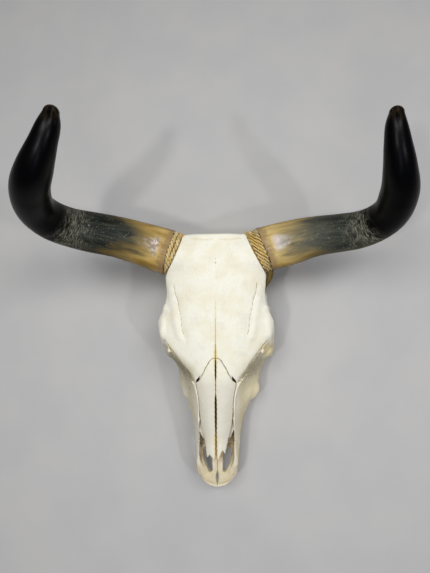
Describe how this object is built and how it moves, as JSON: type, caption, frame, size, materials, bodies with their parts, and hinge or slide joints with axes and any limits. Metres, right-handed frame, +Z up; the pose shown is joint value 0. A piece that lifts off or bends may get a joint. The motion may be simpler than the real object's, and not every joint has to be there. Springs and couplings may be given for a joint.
{
  "type": "cattle skull with horns",
  "caption": "Life-size cattle skull without its lower jaw, with polished curved horns and rope bound round each horn base, lying forehead up.",
  "frame": {"origin": "centre of the bounding box on the floor plane, under the skull as it rests", "axes": "+Z up, +X to the right of the picture across the horns, -Y towards the muzzle, +Y towards the poll"},
  "size_m": [0.6795, 0.6405, 0.446],
  "materials": {
    "bone": "dry cleaned bone, cream white, fine pores; matte_plastic stands in for bone",
    "horn": "polished horn, amber and grey at the base, black from the bend to the tip; gloss_plastic stands in for horn",
    "rope": "twisted golden-brown plant fibre cord"
  },
  "bodies": {
    "root": {"cranium": "bone", "maxilla_left": "bone", "maxilla_right": "bone", "premaxilla_left": "bone", "premaxilla_right": "bone", "nasal_left": "bone", "nasal_right": "bone", "horn_left": "horn", "horn_right": "horn", "rope_wrap_left": "rope", "rope_wrap_right": "rope"}
  },
  "joints": []
}
